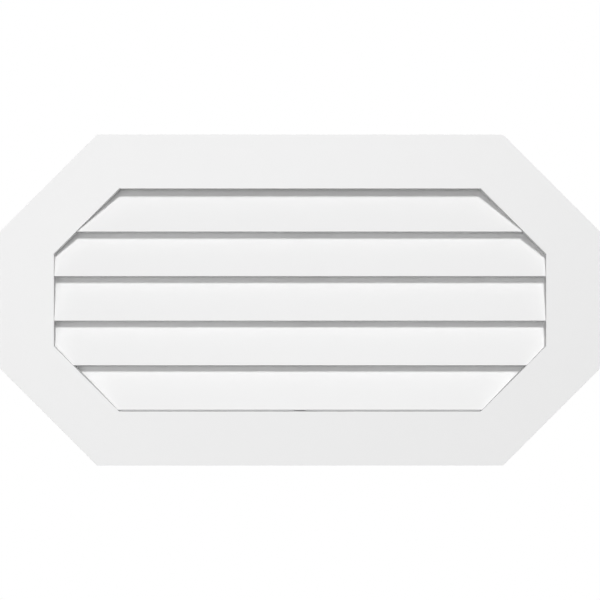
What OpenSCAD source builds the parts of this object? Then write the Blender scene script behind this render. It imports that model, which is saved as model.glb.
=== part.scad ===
// Octagonal gable vent in white cellular PVC, longer than it is high. A flat face trim lies on
// the wall, and an eight-sided sleeve of mitred boards goes back through the wall behind it. Five
// sloping louvres stand in grooves in the sleeve, a notched brace holds them at mid-span, and an
// insect screen is stapled over the sleeve's back.
// +X is to the viewer's right, +Y goes back into the wall and +Z is up. The origin is the centre
// of the opening on the wall's face, where the back of the face trim rests.

/* [Opening] */
// Width of the octagonal opening in the face trim
opening_w = 812.8; // [600:0.1:1400]
// Height of the octagonal opening in the face trim
opening_h = 368.3; // [280:0.1:450]

/* [Face trim] */
// Width of the flat trim around the opening
trim_w = 88.9; // [60:0.1:150]
// Thickness of the trim, which is how far it stands off the wall
trim_t = 25.4; // [19:0.1:32]
// Depth of the rebate in the back of the trim that seats the sleeve
rebate_depth = 3.2; // [2:0.1:6]

/* [Sleeve] */
// Thickness of the sleeve's boards
board_t = 19.05; // [15:0.05:25]
// How far the sleeve reaches behind the wall's face
sleeve_depth = 38.1; // [30:0.1:100]
// How far the sleeve's inner faces stand back from the opening's edge
reveal = 6.35; // [4:0.05:12]
// Depth of the grooves in the sleeve that hold the louvres
groove_depth = 6.35; // [3:0.05:10]

/* [Louvres] */
// Thickness of each louvre
louvre_t = 4; // [3:0.05:9]
// Slope of the louvres from the vertical, in degrees
louvre_slope = 20; // [14:1:25]
// How far the louvres' lower front edges stand behind the face of the trim
louvre_setback = 3.7; // [1:0.1:6]
// Height of the drain slot under a louvre's lower edge, which shows as a dark line below the last one
drain_slot = 1.3; // [0.5:0.1:3]
// Height by which each louvre rises behind the lower edge of the one above it
louvre_lap = 17; // [8:0.5:25]

/* [Brace] */
// Thickness of the upright brace behind the louvres
brace_t = 19.05; // [12:0.05:25]
// How far the brace's front edge stands behind the deepest visible part of the louvres
brace_setback = 3; // [1:0.1:5]

/* [Insect screen] */
// How far the screen's edge stands in from the outside of the sleeve
screen_inset = 3; // [1:0.5:6]
// Thickness of the screen's wire
screen_wire = 0.45; // [0.4:0.05:1]

/* [Staples] */
// Width of a staple over its legs
staple_w = 11.2; // [8:0.1:16]
// Length of a staple's legs below the crown
staple_leg = 9.5; // [6:0.5:14]
// Thickness of the staple wire
staple_wire = 1.2; // [0.8:0.1:1.6]

/* [Fit] */
// Clearance of a louvre in its grooves, and of the sleeve in its rebate
fit_gap = 0.25; // [0.1:0.05:0.4]

/* [Hidden] */

// Each end of the opening is half of a regular octagon: this share of its height is cut off a corner
corner_share = 1 - 1 / sqrt(2);

// Sides of the octagon, clockwise from the top as seen from the front
SIDES = ["head", "upper_right", "right_jamb", "lower_right", "sill", "lower_left", "left_jamb", "upper_left"];

louvre_count = 5;
// Gaps between the screen's level wires, which are an eighth of an inch apart
screen_gap_count = 120;
// Staples along the head and the sill, along each shorter side, and up the brace
long_side_staple_count = 6;
short_side_staple_count = 2;
brace_staple_count = 3;

// How far a cut runs past the face that it opens
overrun = 2;

pitch = opening_h / louvre_count;
louvre_front_y = louvre_setback - trim_t;
louvre_length = (pitch + louvre_lap) / cos(louvre_slope);
brace_front_y = louvre_front_y + pitch * tan(louvre_slope) + brace_setback;
sleeve_outside = reveal + board_t;
// The screen is two wires thick where they cross, and the staples' crowns lie on its back
crown_y = sleeve_depth + 2 * screen_wire;

// Corners of the opening, moved outwards by a margin, clockwise from the left end of the head
function octagon(margin) =
    let (
        half_w = opening_w / 2 + margin,
        half_h = opening_h / 2 + margin,
        cut = 2 * half_h * corner_share
    )
    [
        [cut - half_w, half_h],
        [half_w - cut, half_h],
        [half_w, half_h - cut],
        [half_w, cut - half_h],
        [half_w - cut, -half_h],
        [cut - half_w, -half_h],
        [-half_w, cut - half_h],
        [-half_w, half_h - cut]
    ];

// Number of a side, which is also that of the corner at its start
function corner_of(side) = search([side], SIDES)[0];
function corner_after(side) = (corner_of(side) + 1) % len(SIDES);

// Extrudes an outline drawn as seen from the front, between two depths
module between(front_y, back_y) {
    translate([0, back_y, 0])
        rotate([90, 0, 0])
            linear_extrude(back_y - front_y)
                children();
}

module prism(margin, front_y, back_y) {
    between(front_y, back_y)
        polygon(octagon(margin));
}

// A whole louvre board before its ends are cut, with room around it where it cuts a groove.
// Its lower back corner stands a drain slot above the bottom of its share of the opening.
module louvre_board(number, room = 0) {
    lower_edge_z = opening_h / 2 - number * pitch + drain_slot + louvre_t * sin(louvre_slope);
    length = louvre_length + 2 * room;
    width = opening_w + 2 * sleeve_outside;
    translate([0, louvre_front_y, lower_edge_z])
        rotate([-louvre_slope, 0, 0])
            translate([-width / 2, -room, -room])
                cube([width, louvre_t + 2 * room, length]);
}

// Everything between the wall's side of the trim and the screen, out to a margin
module inside_sleeve(margin, front_room = 0) {
    prism(margin, front_room - rebate_depth, sleeve_depth);
}

// One staple with its crown along X, centred on the leg holes
module staple() {
    translate([-staple_w / 2, 0, -staple_wire / 2])
        cube([staple_w, staple_wire, staple_wire]);
    for (leg_x = [-staple_w / 2, staple_w / 2 - staple_wire])
        translate([leg_x, -staple_leg, -staple_wire / 2])
            cube([staple_wire, staple_leg, staple_wire]);
}

// The staples along one side, in the middle of the edge of its board
module side_staples(side) {
    corners = octagon(reveal + board_t / 2);
    from = corners[corner_of(side)];
    to = corners[corner_after(side)];
    count = side == "head" || side == "sill" ? long_side_staple_count : short_side_staple_count;
    turn = atan2(to[1] - from[1], to[0] - from[0]);
    for (step = [0.5 : count]) {
        place = from + (to - from) * step / count;
        translate([place[0], crown_y, place[1]])
            rotate([0, -turn, 0])
                staple();
    }
}

// These staples stand upright, so that their crowns cross the screen's wires
module staples_up_brace() {
    for (row = [1 : brace_staple_count])
        translate([0, crown_y, opening_h * (row / (brace_staple_count + 1) - 1 / 2)])
            rotate([0, 90, 0])
                staple();
}

module face_trim() {
    color("white")
        difference() {
            prism(trim_w, -trim_t, 0);
            prism(0, -trim_t - overrun, overrun);
            prism(sleeve_outside + fit_gap, -rebate_depth, overrun);
        }
}

// One board of the sleeve, mitred into its neighbours, with the grooves of the louvres
module sleeve_board(side) {
    inner = octagon(reveal);
    outer = octagon(sleeve_outside);
    start = corner_of(side);
    end = corner_after(side);
    color("white")
        difference() {
            between(-rebate_depth, sleeve_depth)
                polygon([inner[start], inner[end], outer[end], outer[start]]);
            intersection() {
                union()
                    for (number = [1 : louvre_count])
                        louvre_board(number, fit_gap);
                inside_sleeve(reveal + groove_depth);
            }
            side_staples(side);
        }
}

// A louvre fills the opening within the trim, and its ends widen behind it to stand in the grooves
module louvre(number) {
    color("white")
        intersection() {
            louvre_board(number);
            union() {
                prism(0, -trim_t, 0);
                inside_sleeve(reveal + groove_depth - fit_gap, fit_gap);
            }
        }
}

module centre_brace() {
    height = opening_h + 2 * reveal;
    color("white")
        difference() {
            between(brace_front_y, sleeve_depth)
                square([brace_t, height], center = true);
            for (number = [1 : louvre_count])
                louvre_board(number, fit_gap);
            staples_up_brace();
        }
}

// Only the level wires are cut out, at their real spacing, and the crossing wires are left out
module insect_screen() {
    spacing = (opening_h + 2 * reveal) / screen_gap_count;
    color("silver")
        difference() {
            prism(sleeve_outside - screen_inset, sleeve_depth, crown_y);
            between(sleeve_depth - overrun, crown_y + overrun)
                intersection() {
                    polygon(octagon(reveal));
                    for (gap = [0.5 - screen_gap_count / 2 : screen_gap_count / 2])
                        translate([0, gap * spacing])
                            square([opening_w + 2 * sleeve_outside, spacing - screen_wire], center = true);
                }
            for (side = SIDES)
                side_staples(side);
            staples_up_brace();
        }
}

module screen_staples() {
    color("lightgray") {
        for (side = SIDES)
            side_staples(side);
        staples_up_brace();
    }
}

face_trim();
sleeve_board("head");  // sleeve_head
sleeve_board("upper_right");  // sleeve_upper_right
sleeve_board("right_jamb");  // sleeve_right_jamb
sleeve_board("lower_right");  // sleeve_lower_right
sleeve_board("sill");  // sleeve_sill
sleeve_board("lower_left");  // sleeve_lower_left
sleeve_board("left_jamb");  // sleeve_left_jamb
sleeve_board("upper_left");  // sleeve_upper_left
louvre(1);  // louvre_1
louvre(2);  // louvre_2
louvre(3);  // louvre_3
louvre(4);  // louvre_4
louvre(5);  // louvre_5
centre_brace();
insect_screen();
screen_staples();
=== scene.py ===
# %% [markdown]
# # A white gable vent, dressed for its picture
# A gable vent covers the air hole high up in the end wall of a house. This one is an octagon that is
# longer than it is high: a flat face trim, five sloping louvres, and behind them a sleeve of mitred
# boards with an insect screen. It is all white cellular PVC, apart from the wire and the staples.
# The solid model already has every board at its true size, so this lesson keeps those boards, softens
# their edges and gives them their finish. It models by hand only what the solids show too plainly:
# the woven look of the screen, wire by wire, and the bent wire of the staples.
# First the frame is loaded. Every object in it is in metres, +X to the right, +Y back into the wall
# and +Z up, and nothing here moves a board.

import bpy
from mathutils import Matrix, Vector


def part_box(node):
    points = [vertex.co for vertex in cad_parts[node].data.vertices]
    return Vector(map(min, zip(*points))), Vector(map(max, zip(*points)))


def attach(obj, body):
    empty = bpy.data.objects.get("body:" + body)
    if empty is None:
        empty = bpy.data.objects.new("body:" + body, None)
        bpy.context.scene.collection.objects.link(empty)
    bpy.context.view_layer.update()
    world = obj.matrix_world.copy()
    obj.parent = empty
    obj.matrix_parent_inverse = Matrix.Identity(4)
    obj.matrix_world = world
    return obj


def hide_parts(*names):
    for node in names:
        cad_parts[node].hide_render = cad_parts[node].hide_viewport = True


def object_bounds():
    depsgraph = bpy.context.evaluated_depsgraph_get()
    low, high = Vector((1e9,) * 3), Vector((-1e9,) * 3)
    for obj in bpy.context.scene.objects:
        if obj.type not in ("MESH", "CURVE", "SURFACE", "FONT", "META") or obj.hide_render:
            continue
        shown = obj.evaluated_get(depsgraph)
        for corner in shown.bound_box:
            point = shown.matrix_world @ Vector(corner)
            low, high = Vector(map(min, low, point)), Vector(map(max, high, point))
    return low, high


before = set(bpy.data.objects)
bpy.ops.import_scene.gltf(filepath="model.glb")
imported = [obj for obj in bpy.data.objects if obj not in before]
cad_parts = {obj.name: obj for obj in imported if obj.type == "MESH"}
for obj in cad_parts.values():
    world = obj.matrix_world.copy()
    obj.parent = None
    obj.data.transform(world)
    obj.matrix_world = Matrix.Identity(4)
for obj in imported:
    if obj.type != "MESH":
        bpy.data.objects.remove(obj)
cad_low, cad_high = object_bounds()


def in_mm(*metres):
    return [round(1000 * length, 2) for length in metres]


print("boards and other solids:", sorted(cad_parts))
print("box of the solids in mm:", in_mm(*cad_low, *cad_high))

# %% [markdown]
# ## The camera
# The photograph looks at the vent squarely, from about its own middle, and the vent fills the
# picture from side to side. How far away it was taken shows in the opening: its walls are seen a
# little, which fits a distance of about three metres. A camera could be turned and zoomed by eye, but
# it is surer to work out the lens from that distance and from the width that must fit.

# %% Add the camera
import math

import bpy
from mathutils import Vector

VIEW_DISTANCE = 3.05
SQUARE_ON = (math.radians(90), 0, 0)

vent_width = cad_high.x - cad_low.x
bpy.ops.object.camera_add(location=(0, cad_low.y - VIEW_DISTANCE, 0), rotation=SQUARE_ON)
camera = bpy.context.object
camera.name = "camera"
camera.data.lens = camera.data.sensor_width * VIEW_DISTANCE / vent_width
bpy.context.scene.camera = camera
bpy.context.scene.view_settings.view_transform = "Standard"
print("lens in mm:", round(camera.data.lens, 1))

# %% [markdown]
# ## The light
# White boards show nothing but light and shade, so the lamps do most of the work. The shade under
# each louvre says that the main light comes from the front, a little over 26 degrees up, and its
# sharp lower edge says that the lamp is small and far away, as the sun would be. That shade is an
# even grey, so a second lamp shines into it from the front, nearly level. A third stands close by on
# the left, where the photographed trim is a little brighter. The last three hardly reach what the
# camera sees: they light the sides and the back, for whoever walks round the vent.
# A lamp could be given a power in watts by trial. Here each lamp is given the share of full light
# that it lays on a board facing it. Together the front ones and the room come to about one, so that
# a colour renders as it is written, and moving a lamp away doesn't change what it does.

# %% Add the lamps
def soft_lamp(name, towards, distance, width, height, share):
    direction = Vector(towards).normalized()
    bpy.ops.object.light_add(type="AREA", location=direction * distance)
    lamp = bpy.context.object
    lamp.name = name
    lamp.rotation_euler = direction.to_track_quat("Z", "Y").to_euler()
    lamp.data.shape = "RECTANGLE"
    lamp.data.size = width
    lamp.data.size_y = height
    # With a share of 1, a white matt board that faces the lamp from there renders as pure white.
    lamp.data.energy = share * (math.pi * distance) ** 2
    print(f"{name}: {share:.0%} of full light, {lamp.data.energy:.0f} W")


soft_lamp("main_light", (0.07, -1, 0.5), distance=14, width=1.9, height=1.9, share=0.615)
soft_lamp("front_light", (0, -1, 0.09), distance=7.5, width=1.2, height=1.2, share=0.13)
soft_lamp("near_light", (-0.45, -1, 0), distance=2.4, width=0.6, height=0.8, share=0.12)
soft_lamp("left_side_light", (-1, 0.09, 0.3), distance=8, width=1.2, height=1.2, share=0.35)
soft_lamp("right_side_light", (1, 0.09, 0.3), distance=8, width=1.2, height=1.2, share=0.35)
soft_lamp("rear_light", (-0.3, 1, -0.12), distance=8, width=1.6, height=1.6, share=0.52)

# %% [markdown]
# ## Helpers for node trees
# The room's light and the boards' finish are both worked out by nodes: small boxes that take values
# in, do one thing with them and hand on the result. In the node editor they are added and joined by
# hand. In a script each would take several lines, so these helpers add a node, join two of them, and
# write one step of a formula in a line, whose inputs may be plain numbers or other nodes' outputs.

# %% Add and join nodes
def add_node(tree, kind, **settings):
    node = tree.nodes.new(kind)
    for setting, value in settings.items():
        setattr(node, setting, value)
    return node


def join(tree, source, target):
    tree.links.new(source, target)


def feed(tree, slot, value):
    """Gives an input either another node's output or a plain number."""
    if isinstance(value, bpy.types.NodeSocket):
        join(tree, value, slot)
    else:
        slot.default_value = value


def calculate(tree, operation, *values):
    node = add_node(tree, "ShaderNodeMath", operation=operation)
    for slot, value in zip(node.inputs, values):
        feed(tree, slot, value)
    return node.outputs[0]


print("helpers ready: add_node, join, feed, calculate")

# %% [markdown]
# ## The room
# The photograph's background is pure white. More light on the vent would get there, but it would
# burn out the boards as well. Instead the world is white only for the camera and for reflections,
# and for everything else it is the soft light of a room.

# %% Fill the room with light
ROOM_LIGHT = 0.1
WHITE = (1, 1, 1, 1)


def seen_directly(tree):
    """A mask that is 1 on rays which show a surface to the camera, in a mirror or through glass."""
    path = add_node(tree, "ShaderNodeLightPath")
    mask = path.outputs["Is Camera Ray"]
    for other in ("Is Glossy Ray", "Is Transmission Ray"):
        mask = calculate(tree, "MAXIMUM", mask, path.outputs[other])
    return mask


def set_by_view(tree, slot, hidden, shown):
    """Gives an input one value in direct view and another for the light that falls on the boards."""
    amount = add_node(tree, "ShaderNodeMapRange")
    amount.inputs["To Min"].default_value = hidden
    amount.inputs["To Max"].default_value = shown
    join(tree, seen_directly(tree), amount.inputs["Value"])
    join(tree, amount.outputs["Result"], slot)


room = bpy.data.worlds.new("room")
bpy.context.scene.world = room
room.use_nodes = True
backdrop = room.node_tree.nodes["Background"]
backdrop.inputs["Color"].default_value = WHITE
set_by_view(room.node_tree, backdrop.inputs["Strength"], hidden=ROOM_LIGHT, shown=1)
print("room light:", ROOM_LIGHT)

# %% [markdown]
# ## The floor
# The vent hangs at eye height, so the floor lies well below it and outside the photograph's view.
# From other sides it shows, pale, with the vent's shadow on it. It is a plain sheet. The mask from
# the room serves here again: the camera and reflections see a pale floor with a little glow, but the
# boards see a dark one, because a white floor would throw light up under the louvres, where the
# photograph is in shade.

# %% Lay the floor
FLOOR_DROP = 1.5
FLOOR_SIZE = 16
FLOOR_FORWARD = 2
FLOOR_GLOW = 0.85
FLOOR_PALE = 0.8
FLOOR_DARK = 0.12
FLOOR_ROUGHNESS = 0.9

bpy.ops.mesh.primitive_plane_add(size=FLOOR_SIZE, location=(0, -FLOOR_FORWARD, -FLOOR_DROP))
floor = bpy.context.object
floor.name = "studio_floor"


def new_material(name):
    """A material, its tree of nodes and the one shader in it."""
    material = bpy.data.materials.new(name)
    material.use_nodes = True
    tree = material.node_tree
    return material, tree, tree.nodes["Principled BSDF"]


pale, tree, paint = new_material("pale_floor")
paint.inputs["Roughness"].default_value = FLOOR_ROUGHNESS
paint.inputs["Emission Color"].default_value = WHITE
set_by_view(tree, paint.inputs["Base Color"], hidden=FLOOR_DARK, shown=FLOOR_PALE)
set_by_view(tree, paint.inputs["Emission Strength"], hidden=0, shown=FLOOR_GLOW)
floor.data.materials.append(pale)
print("floor lies", FLOOR_DROP, "m below the middle of the vent")

# %% [markdown]
# ## A finish for PVC boards
# Cellular PVC is foamed plastic, rolled into sheets with a smooth, closed skin. Where a saw or a
# router has cut it, the skin is gone: the cut is more matt, and fine tool lines run across it. All
# the white boards share that, each with its own amounts, so it becomes one node group with named
# inputs. A picture of plastic could be wrapped round the boards, but noise on object coordinates
# has no seams and stays the right size on a board of any length.
# The next helpers mix two values by a mask, draw noise, shade a colour and make an empty group.

# %% Helpers for a node group
def blend(tree, mask, where_0, where_1):
    node = add_node(tree, "ShaderNodeMix", data_type="FLOAT")
    for label, value in (("Factor", mask), ("A", where_0), ("B", where_1)):
        feed(tree, node.inputs[label], value)
    return node.outputs["Result"]


def noise(tree, vector, scale, detail=2.0):
    node = add_node(tree, "ShaderNodeTexNoise")
    node.inputs["Detail"].default_value = detail
    node.inputs["Scale"].default_value = scale
    join(tree, vector, node.inputs["Vector"])
    return node.outputs["Fac"]


def shaded(tree, colour, shade):
    """A colour times a shade, so that a shade of 1 leaves it as it is."""
    node = add_node(tree, "ShaderNodeVectorMath", operation="SCALE")
    join(tree, colour, node.inputs[0])
    join(tree, shade, node.inputs["Scale"])
    return node.outputs["Vector"]


def new_group(name, inputs, outputs):
    """An empty shader node group with named inputs, each with a start value, and named outputs."""
    group = bpy.data.node_groups.new(name, "ShaderNodeTree")
    for label, (kind, value) in inputs.items():
        socket = group.interface.new_socket(label, in_out="INPUT", socket_type=kind)
        if value is not None:
            socket.default_value = value
    for label, kind in outputs.items():
        group.interface.new_socket(label, in_out="OUTPUT", socket_type=kind)
    entry = add_node(group, "NodeGroupInput")
    end = add_node(group, "NodeGroupOutput")
    return group, entry, end


print("helpers ready: blend, noise, shaded, new_group")

# %% [markdown]
# The group for PVC has three layers. A slow mottle, a few centimetres across, shifts the shade by
# less than one part in a hundred, as on any real sheet. A fine grain gives the skin its satin look.
# Cut faces have tool lines instead, and they are made a little greyer: partly because cut foam is
# duller, and partly as painted shade for the walls of the opening and the louvres' lower edges, where
# shade falls. They are told apart by where they face: on every board here the skin faces one known
# way, so the mask compares the face with that direction.

# %% Build the PVC group
MOTTLE_SCALE = 22
GRAIN_SCALE = 900
GRAIN_IN_GLOSS = 0.08
GRAIN_RELIEF = 0.4
LINE_WOBBLE = 1.5
# At scale 1 a wave texture runs through 20 radians in a metre, and each full turn draws one line.
LINES_AT_SCALE_1 = 20 / (2 * math.pi)


def build_pvc_group():
    group, entry, end = new_group(
        "pvc_surface",
        inputs={
            "Vector": ("NodeSocketVector", None),
            "Skin mask": ("NodeSocketFloat", 1.0),
            "Colour": ("NodeSocketColor", WHITE),
            "Skin roughness": ("NodeSocketFloat", 0.4),
            "Cut roughness": ("NodeSocketFloat", 0.9),
            # Darkening of cut faces: partly duller cut foam, partly painted shade in the opening's
            # walls and under the louvres.
            "Cut greying and painted shade": ("NodeSocketFloat", 0.82),
            "Mottle": ("NodeSocketFloat", 0.01),
            "Tool lines per metre": ("NodeSocketFloat", 110.0),
        },
        outputs={
            "Colour": "NodeSocketColor",
            "Roughness": "NodeSocketFloat",
            "Height": "NodeSocketFloat",
        },
    )
    vector = entry.outputs["Vector"]
    skin = entry.outputs["Skin mask"]
    slow = noise(group, vector, MOTTLE_SCALE)
    fine = noise(group, vector, GRAIN_SCALE, detail=3)
    mottle = calculate(group, "MULTIPLY_ADD", slow, entry.outputs["Mottle"], 1.0)
    even = calculate(group, "MULTIPLY_ADD", entry.outputs["Mottle"], -0.5, mottle)
    # Painted shade, in part: cut faces such as the opening's walls and the louvres' lower edges are
    # darkened here.
    shade = calculate(group, "MULTIPLY", even, blend(group, skin, entry.outputs["Cut greying and painted shade"], 1.0))
    join(group, shaded(group, entry.outputs["Colour"], shade), end.inputs["Colour"])

    lines = add_node(group, "ShaderNodeTexWave", wave_type="BANDS", bands_direction="X")
    lines.inputs["Distortion"].default_value = LINE_WOBBLE
    lines.inputs["Detail"].default_value = 2
    join(group, vector, lines.inputs["Vector"])
    line_scale = calculate(group, "DIVIDE", entry.outputs["Tool lines per metre"], LINES_AT_SCALE_1)
    join(group, line_scale, lines.inputs["Scale"])

    gloss = blend(group, skin, entry.outputs["Cut roughness"], entry.outputs["Skin roughness"])
    grained = calculate(group, "MULTIPLY_ADD", fine, GRAIN_IN_GLOSS, gloss)
    join(group, grained, end.inputs["Roughness"])
    grain = calculate(group, "MULTIPLY", fine, GRAIN_RELIEF)
    join(group, blend(group, skin, lines.outputs["Fac"], grain), end.inputs["Height"])
    return group


pvc_surface = build_pvc_group()
print("PVC group:", [socket.name for socket in pvc_surface.interface.items_tree])

# %% [markdown]
# ## The three kinds of board
# The trim and the louvres are cut from the smoothest sheet, the louvres from a thin one. The louvres'
# white is a shade darker than the trim's, and this is painted shade: they lean up towards the main
# light and would otherwise render brighter than the trim. The sleeve's boards don't show, so they are
# left as they come from the planer, a little more matt. In each material the shader's own constants,
# such as how strongly it reflects, are typed on the shader, and only what changes over the surface
# comes through the group.

# %% A recipe for a PVC material
SKIN_FROM, SKIN_FULL = 0.75, 0.95
PVC_SHEEN = 0.3
TOOL_RELIEF = 0.00003


def skin_mask(tree, facing):
    """A mask that is 1 on faces that look along facing or against it, and 0 on cut edges."""
    place = add_node(tree, "ShaderNodeTexCoord")
    along = add_node(tree, "ShaderNodeVectorMath", operation="DOT_PRODUCT")
    along.inputs[1].default_value = facing
    join(tree, place.outputs["Normal"], along.inputs[0])
    size = calculate(tree, "ABSOLUTE", along.outputs["Value"])
    soft = add_node(tree, "ShaderNodeMapRange")
    soft.inputs["From Min"].default_value = SKIN_FROM
    soft.inputs["From Max"].default_value = SKIN_FULL
    join(tree, size, soft.inputs["Value"])
    return soft.outputs["Result"]


def use_group(tree, shader, group, vector, colour, amounts):
    """Places a group in front of a shader. An amount named cut_roughness sets Cut roughness."""
    surface = add_node(tree, "ShaderNodeGroup", node_tree=group)
    join(tree, vector, surface.inputs["Vector"])
    surface.inputs["Colour"].default_value = (*colour, 1)
    for label, amount in amounts.items():
        surface.inputs[label.replace("_", " ").capitalize()].default_value = amount
    join(tree, surface.outputs["Colour"], shader.inputs["Base Color"])
    join(tree, surface.outputs["Roughness"], shader.inputs["Roughness"])
    return surface


def pvc_material(name, colour, facing, turn=0.0, shift=0.0, **amounts):
    material, tree, shader = new_material(name)
    shader.inputs["Specular IOR Level"].default_value = PVC_SHEEN
    place = add_node(tree, "ShaderNodeTexCoord")
    turned = add_node(tree, "ShaderNodeMapping")
    turned.inputs["Rotation"].default_value = (0, turn, 0)
    turned.inputs["Location"].default_value = (shift, shift, shift)
    join(tree, place.outputs["Object"], turned.inputs["Vector"])
    surface = use_group(tree, shader, pvc_surface, turned.outputs["Vector"], colour, amounts)
    join(tree, skin_mask(tree, facing), surface.inputs["Skin mask"])
    bump = add_node(tree, "ShaderNodeBump")
    bump.inputs["Distance"].default_value = TOOL_RELIEF
    join(tree, surface.outputs["Height"], bump.inputs["Height"])
    join(tree, bump.outputs["Normal"], shader.inputs["Normal"])
    return material


print("helpers ready: skin_mask, use_group, pvc_material")

# %% [markdown]
# The trim's skin looks straight forward. The louvres lean back by 20 degrees from the vertical, so
# the skin on their front looks up by as much. Their pattern is shifted, so that it isn't the trim's.

# %% Finish the trim and the louvres
LOUVRE_SLOPE = math.radians(20)
LOUVRE_SHIFT = 3.1
TRIM_WHITE = (0.89, 0.89, 0.89)
# Painted shade: the louvres are a shade darker than the trim, to offset the extra main light they
# catch by leaning up.
LOUVRE_SHADED_WHITE = (0.84, 0.84, 0.84)

across_board = (0, math.cos(LOUVRE_SLOPE), -math.sin(LOUVRE_SLOPE))
trim_finish = pvc_material("trim_pvc_finish", TRIM_WHITE, facing=(0, 1, 0))
louvre_finish = pvc_material(
    "louvre_pvc_finish", LOUVRE_SHADED_WHITE, facing=across_board, shift=LOUVRE_SHIFT,
)


def dress(node, material):
    for slot in node.material_slots:
        slot.material = material


dress(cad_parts["face_trim"], trim_finish)
for name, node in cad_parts.items():
    if name.startswith("louvre_"):
        dress(node, louvre_finish)
print("finished:", trim_finish.name, louvre_finish.name)

# %% [markdown]
# Each board of the sleeve was cut from another place in the sheet, so each gets its own shift of the
# mottle, and its pattern is turned to run along the board: level on the head and the sill, upright
# on the jambs and the brace, and at 45 degrees on the four short boards between them.

# %% Finish the sleeve and the brace
SLEEVE_WHITE = (0.86, 0.86, 0.86)
BOARD_SHIFT = 0.37
BOARD_TURNS = {
    "sleeve_head": 0, "sleeve_upper_right": 45, "sleeve_right_jamb": 90, "sleeve_lower_right": -45,
    "sleeve_sill": 0, "sleeve_lower_left": 45, "sleeve_left_jamb": 90, "sleeve_upper_left": -45,
    "centre_brace": 90,
}

for number, (name, turn) in enumerate(BOARD_TURNS.items()):
    angle = math.radians(turn)
    facing = (math.sin(angle), 0, math.cos(angle))
    finish = pvc_material(
        name + "_finish", SLEEVE_WHITE, facing, turn=angle, shift=BOARD_SHIFT * number,
        skin_roughness=0.55, cut_roughness=0.95, mottle=0.02,
    )
    dress(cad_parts[name], finish)
print("sleeve boards and brace finished:", len(BOARD_TURNS))

# %% [markdown]
# ## Soft edges
# No real board has an edge of no width: these are eased by 0.3 millimetres, which shows as a thin
# line of light or shade. A solid's mesh is loose triangles, so each board gets three modifiers: one
# welds them, one clears the needless lines off its flat faces, and one rounds what is left.
# Modifiers suit this better than edits, because the board's own mesh stays as it was drawn.

# %% Round the edges of the boards
EASED_EDGE = 0.0003
ROUNDING_STEPS = 2
WELD_REACH = 0.000005
FLAT_WITHIN = math.radians(0.5)
SHARP_FROM = math.radians(25)


def ease_edges(node, width):
    weld = node.modifiers.new("weld", "WELD")
    weld.merge_threshold = WELD_REACH
    clear = node.modifiers.new("clear_flat_faces", "DECIMATE")
    clear.decimate_type = "DISSOLVE"
    clear.angle_limit = FLAT_WITHIN
    rounding = node.modifiers.new("eased_edge", "BEVEL")
    rounding.width = width
    rounding.segments = ROUNDING_STEPS
    rounding.limit_method = "ANGLE"
    rounding.angle_limit = SHARP_FROM


remodelled = ("insect_screen", "screen_staples")
for name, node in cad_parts.items():
    if name not in remodelled:
        ease_edges(node, EASED_EDGE)
print("eased boards:", len(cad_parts) - len(remodelled))

# %% [markdown]
# ## The insect screen
# The screen is galvanised hardware cloth: straight wires an eighth of an inch apart, level ones in
# front and upright ones behind, welded where they cross. The solid shows only the level wires, with
# square edges. It could be a flat sheet with a see-through pattern, but then it would have no
# thickness from the side. Here one wire of each kind is a thin cylinder, repeated by an array, and
# the four corners are trimmed with bisect, as a pair of snips would.

# %% Model the wires
WIRE_PITCH = 0.003175
WIRE_SIDES = 8
ROUND_UNDER = math.radians(60)
CORNER_SHARE = 1 - 1 / math.sqrt(2)

screen_low, screen_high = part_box("insect_screen")
wire_size = (screen_high.y - screen_low.y) / 2


def select_only(thing):
    bpy.ops.object.select_all(action="DESELECT")
    thing.select_set(True)
    bpy.context.view_layer.objects.active = thing


def row_of_wires(name, half_length, half_spread, depth, rotation, step):
    """Wires of one direction, spread evenly to both sides of the middle."""
    to_each_side = math.floor(half_spread / WIRE_PITCH)
    count = 2 * to_each_side + 1
    first = -to_each_side * WIRE_PITCH * Vector(step)
    bpy.ops.object.select_all(action="DESELECT")
    bpy.ops.mesh.primitive_cylinder_add(
        vertices=WIRE_SIDES, radius=wire_size / 2, depth=2 * half_length,
        location=first + Vector((0, depth, 0)), rotation=rotation,
    )
    wires = bpy.context.object
    wires.name = name
    bpy.ops.object.transform_apply(location=True, rotation=True, scale=True)
    row = wires.modifiers.new("row", "ARRAY")
    row.count = count
    row.use_relative_offset = False
    row.use_constant_offset = True
    row.constant_offset_displace = WIRE_PITCH * Vector(step)
    bpy.ops.object.modifier_apply(modifier=row.name)
    print(f"{name}: {count} wires")
    return wires


level_wires = row_of_wires(
    "level_wires", screen_high.x, screen_high.z, screen_low.y + wire_size / 2,
    rotation=(0, math.radians(90), 0), step=(0, 0, 1),
)
upright_wires = row_of_wires(
    "upright_wires", screen_high.z, screen_high.x, screen_high.y - wire_size / 2,
    rotation=(0, 0, 0), step=(1, 0, 0),
)

# %% Trim the corners and join the wires
def trim_corners(wires, half_width, half_height):
    corner_cut = 2 * half_height * CORNER_SHARE
    select_only(wires)
    bpy.ops.object.mode_set(mode="EDIT")
    for side in (-1, 1):
        for end in (-1, 1):
            bpy.ops.mesh.select_all(action="SELECT")
            bpy.ops.mesh.bisect(
                plane_co=(side * (half_width - corner_cut), 0, end * half_height),
                plane_no=(side, 0, end), use_fill=True, clear_outer=True,
            )
    bpy.ops.object.mode_set(mode="OBJECT")


for wires in (level_wires, upright_wires):
    trim_corners(wires, screen_high.x, screen_high.z)

select_only(level_wires)
upright_wires.select_set(True)
bpy.ops.object.join()
screen = level_wires
screen.name = "hardware_cloth"
bpy.ops.object.shade_smooth_by_angle(angle=ROUND_UNDER)
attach(screen, "root")
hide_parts("insect_screen")
print("hardware cloth:", len(screen.data.polygons), "faces")

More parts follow.
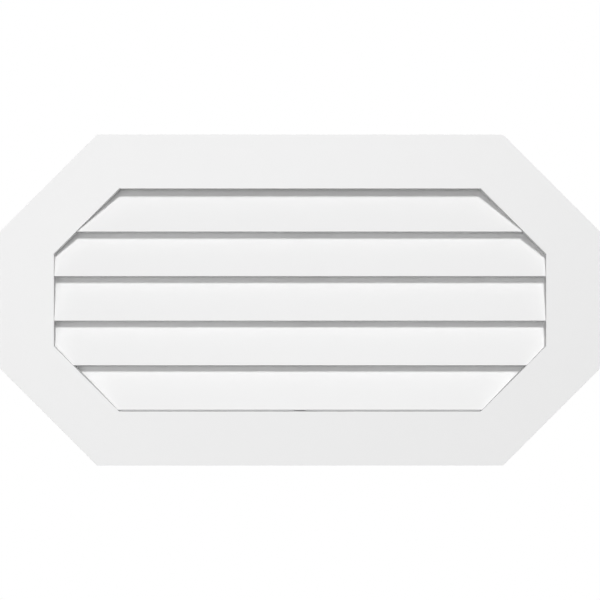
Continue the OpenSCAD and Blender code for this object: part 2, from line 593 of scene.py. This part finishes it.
# %% [markdown]
# ## The staples
# A staple gun's staples hold the screen: 27 of them, each one piece of steel wire bent twice. The
# solids are square in section with sharp shoulders. A curve with a round bevel would bend more
# easily, but a swept circle keeps everything in one mesh: a disc is extruded up the first leg, spun
# a quarter turn round the shoulder, drawn along the crown, and spun and drawn down again.

# %% Bend one staple
STAPLE_SIDES = 12
STAPLE_WIDTH = 0.0112
SHOULDER_STEPS = 4
SHOULDER_IN_WIRES = 1.2

staples_low, staples_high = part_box("screen_staples")
crown_front = screen_high.y
leg_tip = staples_low.y
staple_wire = staples_high.y - crown_front
shoulder = SHOULDER_IN_WIRES * staple_wire
half_span = (STAPLE_WIDTH - staple_wire) / 2
crown_middle = crown_front + staple_wire / 2


def draw(offset):
    bpy.ops.mesh.extrude_region_move(TRANSFORM_OT_translate={"value": offset})


def bend(centre):
    bpy.ops.mesh.spin(
        steps=SHOULDER_STEPS, dupli=False, angle=math.radians(90), center=centre, axis=(0, 0, -1),
    )


def bent_staple():
    """A staple with its crown along X and its legs pointing to the front."""
    bpy.ops.object.select_all(action="DESELECT")
    bpy.ops.mesh.primitive_circle_add(
        vertices=STAPLE_SIDES, radius=staple_wire / 2, fill_type="NGON",
        location=(half_span, leg_tip, 0), rotation=(math.radians(90), 0, 0),
    )
    staple = bpy.context.object
    bpy.ops.object.transform_apply(location=True, rotation=True, scale=True)
    bpy.ops.object.mode_set(mode="EDIT")
    bpy.ops.mesh.select_all(action="SELECT")
    shoulder_y = crown_middle - shoulder
    draw((0, shoulder_y - leg_tip, 0))
    bend((half_span - shoulder, shoulder_y, 0))
    draw((-2 * (half_span - shoulder), 0, 0))
    bend((shoulder - half_span, shoulder_y, 0))
    draw((0, leg_tip - shoulder_y, 0))
    bpy.ops.mesh.select_all(action="SELECT")
    bpy.ops.mesh.normals_make_consistent(inside=False)
    bpy.ops.object.mode_set(mode="OBJECT")
    bpy.ops.object.shade_smooth_by_angle(angle=ROUND_UNDER)
    return staple


staple = bent_staple()
bpy.context.view_layer.update()
print("staple in mm:", in_mm(*staple.dimensions))

# %% [markdown]
# Two staples go in each short board, six in the head and the sill, and three up the brace, where
# they stand upright. Each sits in the middle of its board's edge, along a line from corner to
# corner. That line is again an octagon, so its corners follow from the boxes of the boards. The ones
# on the brace share out the opening's height, which ends a reveal short of the head and the sill.

# %% Work out where the staples go
LONG_SIDE_COUNT = 6
SHORT_SIDE_COUNT = 2
BRACE_COUNT = 3
HEAD_SIDE, SILL_SIDE = 0, 4
REVEAL = 0.00635

head_low, head_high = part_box("sleeve_head")
_, jamb_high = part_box("sleeve_right_jamb")
board_thickness = head_high.z - head_low.z


def octagon(half_width, half_height):
    """Corners clockwise from the left end of the head, as seen from the front."""
    cut = 2 * half_height * CORNER_SHARE
    right = [
        (half_width - cut, half_height), (half_width, half_height - cut),
        (half_width, cut - half_height), (half_width - cut, -half_height),
    ]
    left = [(-x, z) for x, z in reversed(right)]
    return [left[-1], *right, *left[:-1]]


def staple_places():
    """Each staple's x, z and turn about the depth axis."""
    corners = octagon(jamb_high.x - board_thickness / 2, head_high.z - board_thickness / 2)
    for side, start in enumerate(corners):
        end = corners[(side + 1) % len(corners)]
        count = LONG_SIDE_COUNT if side in (HEAD_SIDE, SILL_SIDE) else SHORT_SIDE_COUNT
        turn = math.atan2(end[1] - start[1], end[0] - start[0])
        for number in range(count):
            share = (number + 0.5) / count
            x, z = (first + share * (last - first) for first, last in zip(start, end))
            yield x, z, turn
    opening_height = 2 * (head_low.z - REVEAL)
    for row in range(1, BRACE_COUNT + 1):
        yield 0, opening_height * (row / (BRACE_COUNT + 1) - 0.5), math.radians(90)


places = list(staple_places())
print("places for staples:", len(places))

# %% Drive the staples
copies = []
for x, z, turn in places:
    copy = staple.copy()
    copy.data = staple.data.copy()
    bpy.context.scene.collection.objects.link(copy)
    copy.location = (x, 0, z)
    copy.rotation_euler = (0, -turn, 0)
    copies.append(copy)
bpy.data.objects.remove(staple)

bpy.ops.object.select_all(action="DESELECT")
for copy in copies:
    copy.select_set(True)
bpy.context.view_layer.objects.active = copies[0]
bpy.ops.object.transform_apply(location=True, rotation=True, scale=True)
bpy.ops.object.join()
staples = bpy.context.object
staples.name = "wire_staples"
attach(staples, "root")
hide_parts("screen_staples")
print("staples:", len(copies))

# %% [markdown]
# ## Metal finishes
# Both kinds of wire are metal, one grey with zinc and one bright. Zinc grows in flat crystals, which
# catch the light differently, so its group mixes cells of slightly different shade and roughness.

# %% Build the metal group
def build_metal_group():
    group, entry, end = new_group(
        "wire_metal",
        inputs={
            "Vector": ("NodeSocketVector", None),
            "Colour": ("NodeSocketColor", WHITE),
            "Roughness": ("NodeSocketFloat", 0.4),
            "Cells per metre": ("NodeSocketFloat", 500.0),
            "Contrast": ("NodeSocketFloat", 0.15),
        },
        outputs={"Colour": "NodeSocketColor", "Roughness": "NodeSocketFloat"},
    )
    cells = add_node(group, "ShaderNodeTexVoronoi")
    join(group, entry.outputs["Vector"], cells.inputs["Vector"])
    join(group, entry.outputs["Cells per metre"], cells.inputs["Scale"])
    level = add_node(group, "ShaderNodeSeparateColor")
    join(group, cells.outputs["Color"], level.inputs["Color"])
    swing = calculate(group, "MULTIPLY", level.outputs["Red"], entry.outputs["Contrast"])
    shade = calculate(group, "SUBTRACT", 1.0, swing)
    join(group, shaded(group, entry.outputs["Colour"], shade), end.inputs["Colour"])
    join(group, calculate(group, "ADD", entry.outputs["Roughness"], swing), end.inputs["Roughness"])
    return group


wire_metal = build_metal_group()
print("metal group:", [socket.name for socket in wire_metal.interface.items_tree])

# %% Make the zinc and the steel
ZINC_GREY = (0.55, 0.56, 0.57)
STEEL_GREY = (0.6, 0.6, 0.6)


def metal_material(name, colour, **amounts):
    material, tree, shader = new_material(name)
    shader.inputs["Metallic"].default_value = 1
    place = add_node(tree, "ShaderNodeTexCoord")
    use_group(tree, shader, wire_metal, place.outputs["Object"], colour, amounts)
    return material


zinc = metal_material("zinc_wire", ZINC_GREY, roughness=0.42, cells_per_metre=450, contrast=0.2)
bright_steel = metal_material(
    "bright_staple_wire", STEEL_GREY, roughness=0.25, cells_per_metre=900, contrast=0.1,
)
for piece, material in ((screen, zinc), (staples, bright_steel)):
    piece.data.materials.clear()
    piece.data.materials.append(material)
print("metals:", zinc.name, bright_steel.name)
